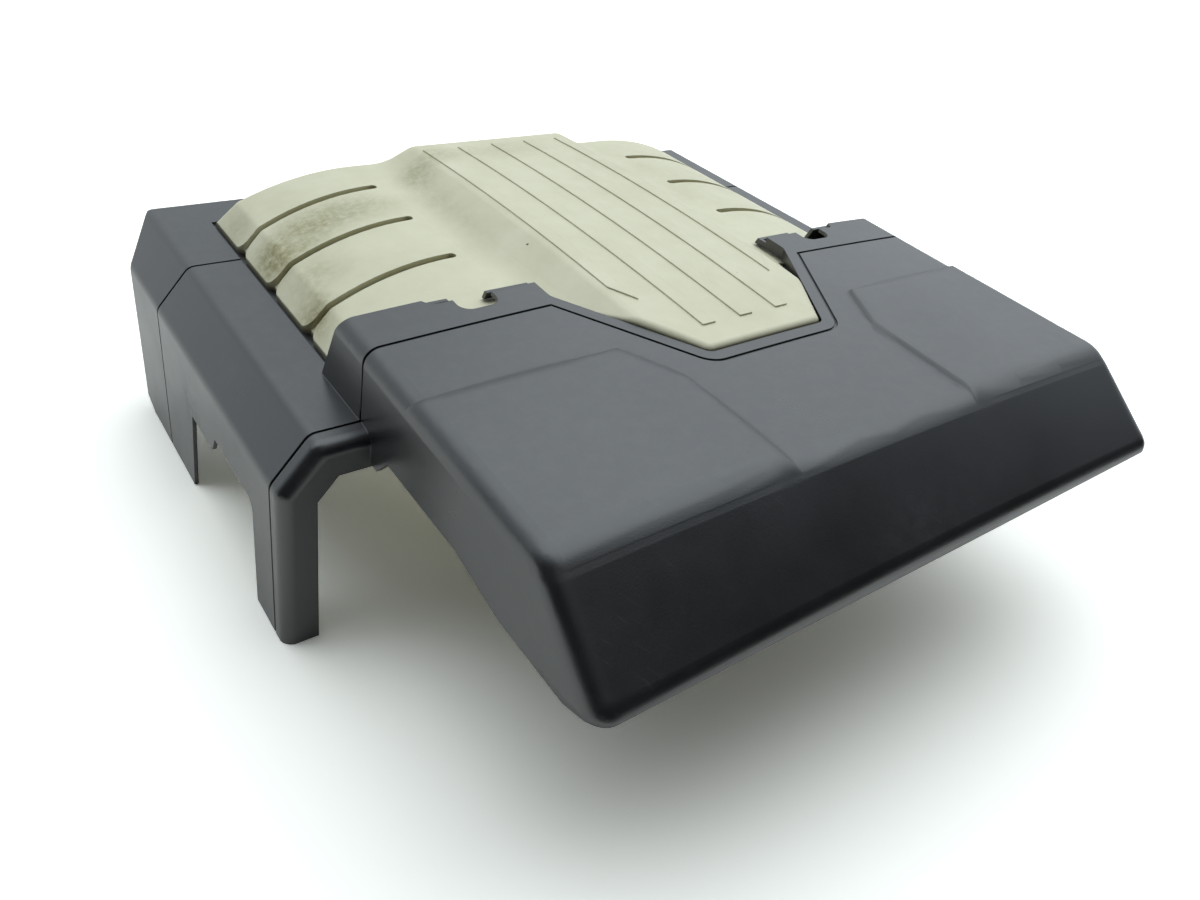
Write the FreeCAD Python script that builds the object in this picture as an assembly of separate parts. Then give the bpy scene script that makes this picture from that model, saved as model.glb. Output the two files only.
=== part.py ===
"""Engine cover: one dark moulded cover with a pale centre panel, panel screws and rubber mounting grommets.

Millimetres. X is across the car, Y runs from the front lip to the rear edge, Z is up.
The origin is on the floor, in the middle of the cover's length and width.
"""
import FreeCAD, Part
import math
import os

Vector = FreeCAD.Vector

# Driving sizes of the whole cover
cover_length = 612.0
wall = 3.0
front_edge = -cover_length / 2
rear_edge = cover_length / 2

# Flank section: the wall at the floor, the two creases and the flat top
floor_half_width = 318.5
chamfer_low_x = floor_half_width - 5.5
chamfer_low_z = 126.0
chamfer_top_x = chamfer_low_x - 27.0
deck_z = 157.0
flank_crease_radius = 10.0

# Flank stations, measured from the front lip
leg_front = front_edge + 243.0
leg_rear = front_edge + 294.5
arch_step = front_edge + 378.0
slot_rear_top = front_edge + 425.0
slot_rear_foot = front_edge + 438.0
arch_top_z = 88.5
arch_step_z = 74.0
arch_step_run = 8.0
arch_step_radius = 2.0
arch_corner_radius = 10.0
leg_edge_radius = 9.0
leg_flange_width = 24.0
flange_foot_width = 4.5
flange_foot_height = 9.5
rear_lip_width = 14.0
rear_corner_cut_x = 28.0
rear_corner_cut_y = 37.0
floor_corner_cut_y = 26.0
floor_corner_cut_z = 9.0

# Widths that follow from the flanks: the panel's seat, the bonnet round it, and the panel's own creases
seat_half_width = chamfer_top_x - 39.5
bonnet_half_width = seat_half_width + 3.5
bonnet_foot_half_width = bonnet_half_width + 4.5
panel_half_width = seat_half_width - 2.5
panel_bevel_x = panel_half_width - 16.0
lobe_tangent_x = panel_bevel_x - 50.4
plateau_foot_half_width = lobe_tangent_x - 67.6
plateau_half_width = plateau_foot_half_width - 33.0
shoulder_half_width = plateau_foot_half_width + 2.0
nose_half_width = plateau_half_width - 24.0

# Front bonnet: the raised, gently crowned block in front of the panel
bonnet_crown_drop = 5.5
bonnet_rear = front_edge + 297.0
bonnet_rear_z = 213.6
bonnet_rear_lean = 26.0
bonnet_crease = front_edge + 60.0
bonnet_crease_z = 206.0
bonnet_crease_radius = 30.0
bonnet_slope_degrees = 38.0
bonnet_lip_radius = 13.0
bonnet_side_radius = 12.0

# Lower edge of the bonnet's walls
skirt_front_z = 147.5
skirt_dip_z = 141.0
skirt_side_z = 150.0
skirt_rear_z = 136.0
skirt_dip_start = front_edge + 7.0
skirt_dip_front = front_edge + 27.0
skirt_dip_rear = front_edge + 89.0
skirt_rise = front_edge + 137.0
skirt_tab_front = front_edge + 220.0
skirt_tab_rear = front_edge + 233.0
skirt_bend_radius = 12.0
skirt_tab_radius = 2.0

# Raised pads on the bonnet
pad_height = 2.5
pad_spread = 0.7
pad_setback = 0.4
pad_inner_x = nose_half_width + 39.0
pad_rear = front_edge + 192.0
pad_corner_x = shoulder_half_width
pad_corner = front_edge + 150.0

# Notches and steps in the rear rim of the bonnet
notch_inner_x = shoulder_half_width + 34.0
notch_outer_x = notch_inner_x + 29.0
notch_depth = 22.0
notch_radius = 9.0
notch_floor_z = 190.0
rim_step_x = notch_outer_x + 19.0
rim_step_depth = 7.0
rim_step_run = 4.0
rim_step_radius = 2.0
rim_step_floor_z = 207.6

# Panel seat: pocket in the deck, ledge below it, and the nose opening in the bonnet
seat_rear = front_edge + 572.0
ledge_z = 155.0
ledge_width = 20.0
nose_front = front_edge + 170.0
nose_corner_radius = 8.0
shoulder_front = front_edge + 270.0
shoulder_corner_radius = 10.0
nose_ledge_z = 193.0
nose_ledge_width = 12.0
panel_gap = 1.5

# Styling grooves
groove_width = 2.2
groove_depth = 1.6
rear_groove = front_edge + 498.5
front_groove = front_edge + 259.5
nose_groove_offset = 10.5

# Centre panel
panel_wall = 3.0
panel_rear = front_edge + 570.0
panel_front = front_edge + 264.0
panel_edge_z = 160.0
panel_bevel_z = 177.0
panel_bevel_radius = 10.0
lobe_z = 200.5
lobe_radius = 215.0
plateau_z = 219.0
plateau_apex = front_edge + 382.0
plateau_crown_radius = 2900.0
plateau_edge_radius = 14.0
plateau_foot_radius = 45.0
panel_rear_lean = 0.3
panel_rear_radius = 8.0
nose_edge_radius = 5.0

# Louvre grooves in the panel lobes
louvre_stations = [front_edge + 368.5, front_edge + 438.8, front_edge + 504.6]
louvre_inner_x = plateau_foot_half_width + 20.0
louvre_width = 7.0
louvre_depth = 4.0
louvre_end_radius = 3.3
louvre_mouth_radius = 8.0

# Raised ribs on the plateau
rib_pitch = (plateau_half_width - 9.0) / 2
rib_width = 11.3
rib_height = 1.0
rib_front = front_edge + 194.5
outer_rib_front = front_edge + 237.0
outer_rib_slant = 21.0
rib_rear = front_edge + 533.0

# Screws that hold the panel from below
screw_shank = 3.0
screw_length = 9.0
screw_head = 8.0
screw_head_height = 2.2
screw_clearance = 0.15
screw_tip_room = 1.0
boss_diameter = 9.0
side_screw_inset = 6.5
side_screw_stations = [front_edge + 345.0, front_edge + 404.0, front_edge + 472.0, front_edge + 538.0]
nose_screw_x = nose_half_width - 19.0
nose_screw_inset = 7.5

# Grommets that push over the ball studs on the engine
tower_diameter = 30.0
grommet_diameter = 20.0
grommet_length = 14.0
grommet_flange_diameter = 26.0
grommet_flange_height = 3.0
stud_diameter = 9.0
stud_neck_diameter = 7.6
stud_neck_length = 3.0
grommet_fit = 0.1
front_tower_x = bonnet_half_width - 60.0
front_tower = front_edge + 127.0
front_tower_foot = 166.0
rear_tower_x = chamfer_top_x - 23.0
rear_tower = front_edge + 537.0
rear_tower_foot = 112.0

# Clear distance past the part for cutting shapes, and the distance below which points lie together
past = 60.0
touching = 0.01


def in_section(y):
    """Places (x, z) corners on the plane at y."""
    return lambda u, v: Vector(u, y, v)


def in_profile(x):
    """Places (y, z) corners on the plane at x."""
    return lambda u, v: Vector(x, u, v)


def in_plan(z):
    """Places (x, y) corners on the plane at z."""
    return lambda u, v: Vector(u, v, z)


def rounded_wire(corners, place):
    """Closed wire through (u, v, radius) corners, with a tangent arc at each corner that has a radius."""
    count = len(corners)
    joints = []
    for index in range(count):
        u, v, radius = corners[index]
        corner = Vector(u, v, 0)
        before = Vector(corners[index - 1][0], corners[index - 1][1], 0) - corner
        after = Vector(corners[(index + 1) % count][0], corners[(index + 1) % count][1], 0) - corner
        before.normalize()
        after.normalize()
        half = before.getAngle(after) / 2
        if radius == 0 or math.pi / 2 - half < 1e-4:
            joints.append((corner, None, corner))
            continue
        reach = radius / math.tan(half)
        inward = before + after
        inward.normalize()
        middle = corner + inward * (radius / math.sin(half) - radius)
        joints.append((corner + before * reach, middle, corner + after * reach))
    edges = []
    for index in range(count):
        start, middle, end = joints[index]
        following = joints[(index + 1) % count][0]
        if middle is not None:
            arc = [place(point.x, point.y) for point in (start, middle, end)]
            edges.append(Part.Arc(*arc).toShape())
        if (following - end).Length > 1e-6:
            edges.append(Part.makeLine(place(end.x, end.y), place(following.x, following.y)))
    return Part.Wire(edges)


def grown_face(corners, place, growth=0.0):
    """Face inside a rounded wire, grown outward or shrunk inward with its corners kept."""
    face = Part.Face(rounded_wire(corners, place))
    if growth:
        face = face.makeOffset2D(growth, 2)
    return face


def mirrored(corners):
    """A left-right symmetric outline from its right half, listed from bottom to top."""
    left = [(-u, v, radius) for u, v, radius in reversed(corners)]
    return corners + left


def block(x_from, x_to, y_from, y_to, z_from, z_to):
    """Box between two corners."""
    size = (x_to - x_from, y_to - y_from, z_to - z_from)
    return Part.makeBox(*size, Vector(x_from, y_from, z_from))


def both_sides(shape):
    """The shape and its mirror image across the middle of the car."""
    return [shape, shape.mirror(Vector(0, 0, 0), Vector(1, 0, 0))]


def flank_section(growth=0.0):
    """Section of the flanks and deck, open to below the floor."""
    slope = (floor_half_width - chamfer_low_x) / chamfer_low_z
    corners = [
        (floor_half_width + slope * past, -past, 0),
        (chamfer_low_x, chamfer_low_z, flank_crease_radius),
        (chamfer_top_x, deck_z, flank_crease_radius),
    ]
    return grown_face(mirrored(corners), in_section(0), growth)


def flank_bar(growth, y_from, y_to):
    """The flank section drawn out along the car between two stations."""
    bar = flank_section(growth).extrude(Vector(0, y_to - y_from, 0))
    bar.translate(Vector(0, y_from, 0))
    return bar


def flank_plan(inset):
    """Plan outline of the flanks, with the two rear corners cut off."""
    half = floor_half_width + past
    side = chamfer_top_x + rear_corner_cut_x
    cut_slope = rear_corner_cut_y / rear_corner_cut_x
    corners = [
        (half, leg_front + inset, 0),
        (half, rear_edge - rear_corner_cut_y - cut_slope * (half - side), 0),
        (chamfer_top_x, rear_edge, 0),
    ]
    shift = inset * math.hypot(1, cut_slope)
    corners[1] = (half, corners[1][1] - shift, 0)
    corners[2] = (chamfer_top_x - (shift - inset) / cut_slope, rear_edge - inset, 0)
    prism = grown_face(mirrored(corners), in_plan(-past)).extrude(Vector(0, 0, 2 * past + bonnet_rear_z))
    return prism


def edges_on_front(solid, front):
    """Edges of the flank solid's front face, apart from the one below the floor."""
    rims = []
    for edge in solid.Edges:
        ends = [vertex.Point for vertex in edge.Vertexes]
        on_front = all(abs(point.y - front) < touching for point in ends)
        if on_front and max(point.z for point in ends) > 0:
            rims.append(edge)
    return rims


def flank_solid(inset):
    """Outside of the flanks and deck with its rounded front edge, or the same moved in by a wall."""
    solid = flank_bar(-inset, leg_front - past, rear_edge + past).common(flank_plan(inset))
    return solid.makeFillet(leg_edge_radius - inset, edges_on_front(solid, leg_front + inset))


def across(corners):
    """A side profile drawn across the whole width of the cover."""
    span = floor_half_width + past
    return grown_face(corners, in_profile(-span)).extrude(Vector(2 * span, 0, 0))


def arch_cut():
    """Opening in both side walls, with its stepped top and the slanted front of the rear foot."""
    return across([
        (leg_rear, -past, 0),
        (leg_rear, arch_top_z, arch_corner_radius),
        (arch_step - arch_step_run, arch_top_z, arch_step_radius),
        (arch_step, arch_step_z, arch_step_radius),
        (slot_rear_top, arch_step_z, arch_step_radius),
        (slot_rear_foot, 0, 0),
        (slot_rear_foot, -past, 0),
    ])


def floor_corner_cut():
    """Small cut where the rear edge of each side wall meets the floor."""
    corner_y = rear_edge - rear_corner_cut_y
    return across([
        (corner_y - floor_corner_cut_y, -past, 0),
        (corner_y - floor_corner_cut_y, 0, 0),
        (corner_y, floor_corner_cut_z, 0),
        (corner_y + past, floor_corner_cut_z, 0),
        (corner_y + past, -past, 0),
    ])


def flange_foot_cut():
    """The slanted inner corner at the foot of each leg's front flange."""
    inner = floor_half_width - leg_flange_width
    corners = [
        (inner - past, -past, 0),
        (inner - past, flange_foot_height, 0),
        (inner, flange_foot_height, 0),
        (inner + flange_foot_width, 0, 0),
        (inner + flange_foot_width, -past, 0),
    ]
    return grown_face(corners, in_section(leg_front - past)).extrude(Vector(0, leg_rear - leg_front + past, 0))


def seat_pocket(half_width, rear, floor_z):
    """Room above the panel's ledge."""
    return block(-half_width, half_width, leg_front - past, rear, floor_z, bonnet_rear_z + past)


def flanks():
    """Both flanks, the deck strips and the ledge that carries the panel."""
    outside = flank_solid(0).cut(seat_pocket(seat_half_width, seat_rear, ledge_z))
    inside = flank_solid(wall).cut(seat_pocket(seat_half_width + wall, seat_rear + wall, ledge_z - wall))
    shell = outside.cut(inside)
    middle = (leg_rear + rear_edge) / 2
    shell = shell.cut(flank_bar(-leg_flange_width, leg_front - past, middle))
    shell = shell.cut(flank_bar(-rear_lip_width, middle, rear_edge + past))
    opening = seat_half_width - ledge_width
    shell = shell.cut(block(-opening, opening, leg_front - past, seat_rear - ledge_width, 0, deck_z + past))
    under_bonnet = bonnet_half_width - wall
    deck_front = leg_front + leg_edge_radius
    shell = shell.cut(block(-under_bonnet, under_bonnet, leg_front - past, deck_front, 0, deck_z + past))
    span = floor_half_width + past
    shell = shell.cut(block(-span, span, front_edge - past, rear_edge + past, -2 * past, 0))
    return shell.cut(arch_cut()).cut(floor_corner_cut()).cut(flange_foot_cut())


def bonnet_side_x(z, inset):
    """Half width of the bonnet at a height: its side walls spread a little towards the foot."""
    draft = (bonnet_foot_half_width - bonnet_half_width) / (bonnet_rear_z - skirt_dip_z)
    return bonnet_half_width + draft * (bonnet_rear_z - z) - inset * math.hypot(1, draft)


def bonnet_solid(inset, raised=0.0, setback=0.0):
    """Outside of the crowned bonnet, or the same moved in by a wall, or raised with its slope and sides set back."""
    low = skirt_rear_z - past
    rear_slope = bonnet_rear_lean / (bonnet_rear_z - deck_z)
    slope = math.tan(math.radians(bonnet_slope_degrees))
    crease = bonnet_crease + raised / slope + setback
    corners = [
        (bonnet_rear + rear_slope * (bonnet_rear_z - low), low, 0),
        (bonnet_rear - rear_slope * raised, bonnet_rear_z + raised, 0),
        (crease, bonnet_crease_z + raised, bonnet_crease_radius),
        (front_edge, bonnet_crease_z + raised - slope * (crease - front_edge), bonnet_lip_radius),
        (front_edge, low, 0),
    ]
    crown_radius = (bonnet_half_width ** 2 + bonnet_crown_drop ** 2) / (2 * bonnet_crown_drop)
    axis_point = Vector(0, 0, bonnet_rear_z - crown_radius)
    turn = math.degrees(math.asin((bonnet_half_width + past) / crown_radius))
    profile = grown_face(corners, in_profile(0), -inset)
    profile.rotate(axis_point, Vector(0, 1, 0), -turn)
    foot_z = skirt_rear_z - past / 2
    top_z = bonnet_rear_z + past
    side_inset = inset + setback
    half_widths = [(bonnet_side_x(z, side_inset), z, 0) for z in (foot_z, top_z)]
    sides = grown_face(mirrored(half_widths), in_section(front_edge - past)).extrude(Vector(0, cover_length, 0))
    solid = profile.revolve(axis_point, Vector(0, 1, 0), 2 * turn).common(sides)
    rims = []
    for edge in solid.Edges:
        ends = [vertex.Point for vertex in edge.Vertexes]
        off_side = [abs(point.x) - bonnet_side_x(point.z, side_inset) for point in ends]
        on_side = all(abs(distance) < touching for distance in off_side) and ends[0].x * ends[-1].x > 0
        foot = all(point.z < foot_z + touching for point in ends)
        behind = all(point.y > bonnet_rear - wall for point in ends)
        if on_side and not foot and not behind:
            rims.append(edge)
    return solid.makeFillet(bonnet_side_radius - inset, rims)


def skirt_cut():
    """Everything below the lower edge of the bonnet's walls."""
    return across([
        (front_edge - past, -past, 0),
        (front_edge - past, skirt_front_z, 0),
        (skirt_dip_start, skirt_front_z, skirt_bend_radius),
        (skirt_dip_front, skirt_dip_z, skirt_bend_radius),
        (skirt_dip_rear, skirt_dip_z, skirt_bend_radius),
        (skirt_rise, skirt_side_z, skirt_bend_radius),
        (skirt_tab_front, skirt_side_z, skirt_tab_radius),
        (skirt_tab_rear, skirt_rear_z, skirt_tab_radius),
        (leg_front, skirt_rear_z, 0),
        (leg_front, ledge_z - wall, 0),
        (rear_edge, ledge_z - wall, 0),
        (rear_edge, -past, 0),
    ])


def nose_corners():
    """Plan outline of the panel's nose as it shows in the bonnet."""
    return mirrored([
        (nose_half_width, nose_front, nose_corner_radius),
        (shoulder_half_width, shoulder_front, shoulder_corner_radius),
        (shoulder_half_width, bonnet_rear + past, 0),
    ])


def nose_prism(growth, z_from, z_to):
    """The nose outline, grown or shrunk, drawn up between two heights."""
    return grown_face(nose_corners(), in_plan(z_from), growth).extrude(Vector(0, 0, z_to - z_from))


def pad_prism(grow):
    """Plan of one raised pad, from the crease to its slanted inner corner."""
    corners = [
        (pad_inner_x - grow, front_edge - past, 0),
        (pad_inner_x - grow, pad_corner + grow / 2, 0),
        (pad_corner_x - grow / 2, pad_rear + grow, 0),
        (bonnet_half_width + past, pad_rear + grow, 0),
        (bonnet_half_width + past, front_edge - past, 0),
    ]
    return corners


def raised_pad():
    """Room for one pad on the bonnet's top, with a soft sloping step behind and beside it."""
    low = bonnet_crease_z - past / 2
    high = bonnet_rear_z + pad_height
    foot = rounded_wire(pad_prism(pad_spread * (high - low)), in_plan(low))
    head = rounded_wire(pad_prism(0), in_plan(high))
    return Part.makeLoft([foot, head], True, True)


def bonnet():
    """The bonnet's shell with its pads, nose opening, ledge, notches and rim steps."""
    outside = bonnet_solid(0)
    shell = outside.cut(bonnet_solid(wall))
    top = bonnet_rear_z + past
    ring = nose_prism(wall, nose_ledge_z - wall, top).cut(nose_prism(0, nose_ledge_z, top))
    ring = ring.cut(nose_prism(-nose_ledge_width, 0, top)).common(outside)
    opening = seat_half_width - ledge_width
    shell = shell.cut(skirt_cut()).cut(block(-opening, opening, panel_front, rear_edge, 0, panel_edge_z))
    shell = shell.fuse(ring).cut(nose_prism(0, nose_ledge_z, top))
    notch = [
        (notch_inner_x, bonnet_rear - notch_depth, notch_radius),
        (notch_inner_x, bonnet_rear + past, 0),
        (notch_outer_x, bonnet_rear + past, 0),
        (notch_outer_x, bonnet_rear - notch_depth, notch_radius),
    ]
    step = [
        (0, bonnet_rear - rim_step_depth, 0),
        (rim_step_x - rim_step_run, bonnet_rear - rim_step_depth, rim_step_radius),
        (rim_step_x, bonnet_rear, rim_step_radius),
        (rim_step_x, bonnet_rear + past, 0),
        (0, bonnet_rear + past, 0),
    ]
    for plan, floor_z in ((notch, notch_floor_z), (step, rim_step_floor_z)):
        cutter = grown_face(plan, in_plan(floor_z)).extrude(Vector(0, 0, past))
        for side in both_sides(cutter):
            shell = shell.cut(side)
    return shell


def lobes_bar(inset):
    """The panel's two lobes and bevelled sides, one section drawn along the whole panel."""
    corners = [
        (panel_half_width, -past, 0),
        (panel_half_width, panel_edge_z, 0),
        (panel_bevel_x, panel_bevel_z, panel_bevel_radius),
        (lobe_tangent_x, lobe_z, lobe_radius),
    ]
    start = nose_front - past
    return grown_face(mirrored(corners), in_section(start), -inset).extrude(Vector(0, panel_rear + past - start, 0))


def plateau_bar(inset):
    """The raised plateau: its section swung along a shallow arc, so that it falls to the front and the rear."""
    flare = (plateau_foot_half_width - plateau_half_width) / (plateau_z - lobe_z)
    corners = [
        (plateau_half_width + flare * (plateau_z - ledge_z), ledge_z, 0),
        (plateau_half_width, plateau_z, plateau_edge_radius),
    ]
    section = grown_face(mirrored(corners), in_section(plateau_apex), -inset)
    axis_point = Vector(0, plateau_apex, plateau_z - plateau_crown_radius)
    reach = max(plateau_apex - nose_front, panel_rear - plateau_apex) + past / 2
    turn = math.degrees(math.asin(reach / plateau_crown_radius))
    section.rotate(axis_point, Vector(1, 0, 0), -turn)
    return section.revolve(axis_point, Vector(1, 0, 0), 2 * turn)


def foot_edges(body, inset):
    """The two long edges where the plateau's shoulders meet the lobes."""
    feet = []
    for edge in body.Edges:
        ends = [vertex.Point for vertex in edge.Vertexes]
        level = all(abs(point.z - lobe_z + inset) < touching for point in ends)
        along = abs(ends[0].y - ends[-1].y) > cover_length / 2
        across_flat = abs(ends[0].x - ends[-1].x) < plateau_half_width
        if level and along and across_flat and abs(ends[0].x) < (plateau_foot_half_width + lobe_tangent_x) / 2:
            feet.append(edge)
    return feet


def rear_edges(body, shift, inset):
    """Edges of the panel's leaning rear face that run over its top."""
    rims = []
    for edge in body.Edges:
        ends = [vertex.Point for vertex in edge.Vertexes]
        off_plane = [point.y + panel_rear_lean * (point.z - ledge_z) - panel_rear + shift for point in ends]
        on_plane = all(abs(distance) < touching for distance in off_plane)
        if on_plane and min(point.z for point in ends) > panel_edge_z - abs(inset) - touching:
            rims.append(edge)
    return rims


def panel_skin(inset):
    """Everything below the panel's outer surface, or below the same surface moved in."""
    body = lobes_bar(inset).fuse(plateau_bar(inset)).removeSplitter()
    body = body.makeFillet(plateau_foot_radius + inset, foot_edges(body, inset))
    top = plateau_z + past
    shift = inset * math.hypot(1, panel_rear_lean)
    body = body.cut(across([
        (panel_rear - shift + panel_rear_lean * (ledge_z + past), -past, 0),
        (panel_rear - shift - panel_rear_lean * (top - ledge_z), top, 0),
        (panel_rear + 2 * past, top, 0),
        (panel_rear + 2 * past, -past, 0),
    ]))
    return body.makeFillet(panel_rear_radius - inset, rear_edges(body, shift, inset))


def panel_field(growth):
    """Room that the panel's main field takes up in plan, from its ledge upwards."""
    half = panel_half_width + growth
    return block(-half, half, panel_front - growth, panel_rear + growth, ledge_z, plateau_z + past)


def panel_nose(growth):
    """Room that the panel's nose takes up in plan, from its own ledge upwards."""
    return nose_prism(growth - panel_gap, nose_ledge_z, plateau_z + past)


def panel_plan(growth):
    """Room that the whole panel takes up in plan."""
    return panel_field(growth).fuse(panel_nose(growth))


def panel_hollow():
    """Room inside the panel, open below and along its front edge under the bonnet's rim."""
    half = panel_half_width - panel_wall
    field = block(-half, half, panel_front, panel_rear - panel_wall, ledge_z, plateau_z + past)
    return field.fuse(panel_nose(-panel_wall))


def rounded_nose(skin):
    """The nose part of the panel, with its top edge rolled over all round."""
    nose = skin.common(panel_nose(0))
    rims = []
    for edge in nose.Edges:
        ends = [vertex.Point for vertex in edge.Vertexes]
        high = all(point.z > nose_ledge_z + nose_edge_radius / 2 for point in ends)
        upright = [face for face in nose.ancestorsOfType(edge, Part.Face) if is_upright(face)]
        if high and len(upright) == 1:
            rims.append(edge)
    return nose.makeFillet(nose_edge_radius, rims)


def is_upright(face):
    """True for a wall that stands straight up."""
    u_from, u_to, v_from, v_to = face.ParameterRange
    return abs(face.normalAt((u_from + u_to) / 2, (v_from + v_to) / 2).z) < 1e-4


def louvre_prism(station, grow):
    """Plan of one louvre groove, round at its inner end and flared where it opens at the panel's edge."""
    half = louvre_width / 2 + grow
    mouth = panel_half_width - grow
    flared = half + 2 * louvre_mouth_radius
    far = panel_half_width + past
    corners = [
        (louvre_inner_x - grow, station - half, louvre_end_radius + grow),
        (mouth, station - half, louvre_mouth_radius - grow),
        (mouth, station - flared, 0),
        (far, station - flared, 0),
        (far, station + flared, 0),
        (mouth, station + flared, 0),
        (mouth, station + half, louvre_mouth_radius - grow),
        (louvre_inner_x - grow, station + half, louvre_end_radius + grow),
    ]
    return grown_face(corners, in_plan(ledge_z - past)).extrude(Vector(0, 0, plateau_z - ledge_z + 2 * past))


def panel_ribs():
    """Five low ribs along the plateau; the outer two stop short with slanted ends."""
    half = rib_width / 2
    outer = 2 * rib_pitch
    middle = [(-half, rib_front, 0), (half, rib_front, 0), (half, rib_rear, 0), (-half, rib_rear, 0)]
    slanted = [
        (outer - half, outer_rib_front, 0),
        (outer + half, outer_rib_front + outer_rib_slant, 0),
        (outer + half, rib_rear, 0),
        (outer - half, rib_rear, 0),
    ]
    rise = Vector(0, 0, plateau_z + past - lobe_z)
    ribs = []
    for index in (-1, 0, 1):
        rib = grown_face(middle, in_plan(lobe_z)).extrude(rise)
        rib.translate(Vector(index * rib_pitch, 0, 0))
        ribs.append(rib)
    ribs.extend(both_sides(grown_face(slanted, in_plan(lobe_z)).extrude(rise)))
    layer = panel_skin(-rib_height).cut(panel_skin(panel_wall / 2))
    return [rib.common(layer) for rib in ribs]


def side_screw_places():
    """Panel screws along both flanks: x, y, ledge height."""
    x = panel_half_width - side_screw_inset
    return [(side * x, y, ledge_z) for side in (-1, 1) for y in side_screw_stations]


def nose_screw_places():
    """Panel screws under the nose: x, y, ledge height."""
    y = nose_front + nose_screw_inset
    return [(side * nose_screw_x, y, nose_ledge_z) for side in (-1, 1)]


def screw_places():
    """All panel screws."""
    return side_screw_places() + nose_screw_places()


def tower_places():
    """The four grommet towers: name, x, y, height of the open foot."""
    places = []
    for side, word in ((-1, "left"), (1, "right")):
        places.append(("front_" + word, side * front_tower_x, front_tower, front_tower_foot))
        places.append(("rear_" + word, side * rear_tower_x, rear_tower, rear_tower_foot))
    return places


def cylinder(diameter, x, y, z_from, z_to):
    """Upright cylinder."""
    return Part.makeCylinder(diameter / 2, z_to - z_from, Vector(x, y, z_from))


def centre_panel():
    """The pale panel: a thin shell with louvre grooves, ribs and screw bosses."""
    cuts = []
    for station in louvre_stations:
        cuts.append((louvre_prism(station, 0), louvre_prism(station, panel_wall)))
    outside = panel_skin(0)
    sunk_outside = panel_skin(louvre_depth)
    inside = panel_skin(panel_wall)
    sunk_inside = panel_skin(louvre_depth + panel_wall)
    for narrow, wide in cuts:
        for side_narrow, side_wide in zip(both_sides(narrow), both_sides(wide)):
            outside = outside.cut(side_narrow.cut(sunk_outside))
            inside = inside.cut(side_wide.cut(sunk_inside))
    panel = outside.common(panel_field(0)).fuse(rounded_nose(outside))
    panel = panel.cut(inside.common(panel_hollow()))
    hollow_top = panel_skin(panel_wall / 2)
    for x, y, z in screw_places():
        boss = cylinder(boss_diameter, x, y, z, plateau_z).common(hollow_top)
        panel = panel.fuse(boss)
    panel = panel.fuse(panel_ribs())
    for x, y, z in screw_places():
        hole = cylinder(screw_shank + 2 * screw_clearance, x, y, z - wall, z + screw_length - wall + screw_tip_room)
        panel = panel.cut(hole)
    return panel.removeSplitter()


def styling_grooves():
    """Fine grooves across the flanks and across the bonnet round the nose."""
    flank_skin = flank_solid(0).cut(flank_solid(groove_depth))
    span = floor_half_width + past
    cuts = []
    for y in (front_groove, rear_groove):
        strip = block(-span, span, y - groove_width / 2, y + groove_width / 2, -past, deck_z + past)
        inner = block(-seat_half_width, seat_half_width, y - past, y + past, -past, deck_z + past)
        cuts.append(strip.cut(inner).common(flank_skin))
    bonnet_skin = bonnet_solid(0).cut(bonnet_solid(groove_depth))
    corners = mirrored([
        (nose_half_width, nose_front, nose_corner_radius),
        (shoulder_half_width, front_groove + nose_groove_offset, shoulder_corner_radius),
        (bonnet_half_width + past, front_groove + nose_groove_offset, 0),
        (bonnet_half_width + past, bonnet_rear + 2 * past, 0),
    ])
    top = bonnet_rear_z + past
    bands = []
    for growth in (nose_groove_offset + groove_width / 2, nose_groove_offset - groove_width / 2):
        bands.append(grown_face(corners, in_plan(ledge_z), growth).extrude(Vector(0, 0, top - ledge_z)))
    cuts.append(bands[0].cut(bands[1]).common(bonnet_skin))
    return cuts


def main_cover():
    """The dark cover: flanks, bonnet and grommet towers in one moulding."""
    cover = flanks().fuse(bonnet())
    raised = bonnet_solid(0, pad_height, pad_setback)
    pads = [pad.common(raised).cut(bonnet_solid(wall / 2)) for pad in both_sides(raised_pad())]
    cover = cover.fuse(pads)
    roof = flank_solid(wall / 2).fuse(bonnet_solid(wall / 2))
    for name, x, y, foot in tower_places():
        cover = cover.fuse(cylinder(tower_diameter, x, y, foot, bonnet_rear_z).common(roof))
    room = panel_skin(-panel_gap).common(panel_plan(panel_gap))
    cover = cover.cut(room)
    for groove in styling_grooves():
        cover = cover.cut(groove)
    for name, x, y, foot in tower_places():
        cover = cover.cut(cylinder(grommet_diameter + 2 * grommet_fit, x, y, foot - wall, foot + grommet_length))
    for x, y, z in screw_places():
        cover = cover.cut(cylinder(screw_shank + 2 * screw_clearance, x, y, z - 2 * wall, z + wall))
    return cover.removeSplitter()


def panel_screw(x, y, z):
    """One washer-head screw: its head below the ledge and its shank up into the panel's boss."""
    head_top = z - wall
    head = cylinder(screw_head, x, y, head_top - screw_head_height, head_top)
    return head.fuse(cylinder(screw_shank, x, y, head_top, z + screw_length - wall)).removeSplitter()


def grommet(x, y, foot):
    """One rubber grommet: a flanged sleeve with a round pocket for the stud's ball behind a narrow neck."""
    sleeve = cylinder(grommet_diameter, x, y, foot, foot + grommet_length)
    flange = cylinder(grommet_flange_diameter, x, y, foot - grommet_flange_height, foot)
    low = foot - grommet_flange_height
    pocket = cylinder(stud_diameter, x, y, low + stud_neck_length, foot + grommet_length - wall)
    neck = cylinder(stud_neck_diameter, x, y, low, low + stud_neck_length)
    return sleeve.fuse(flange).cut(pocket).cut(neck).removeSplitter()


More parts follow.
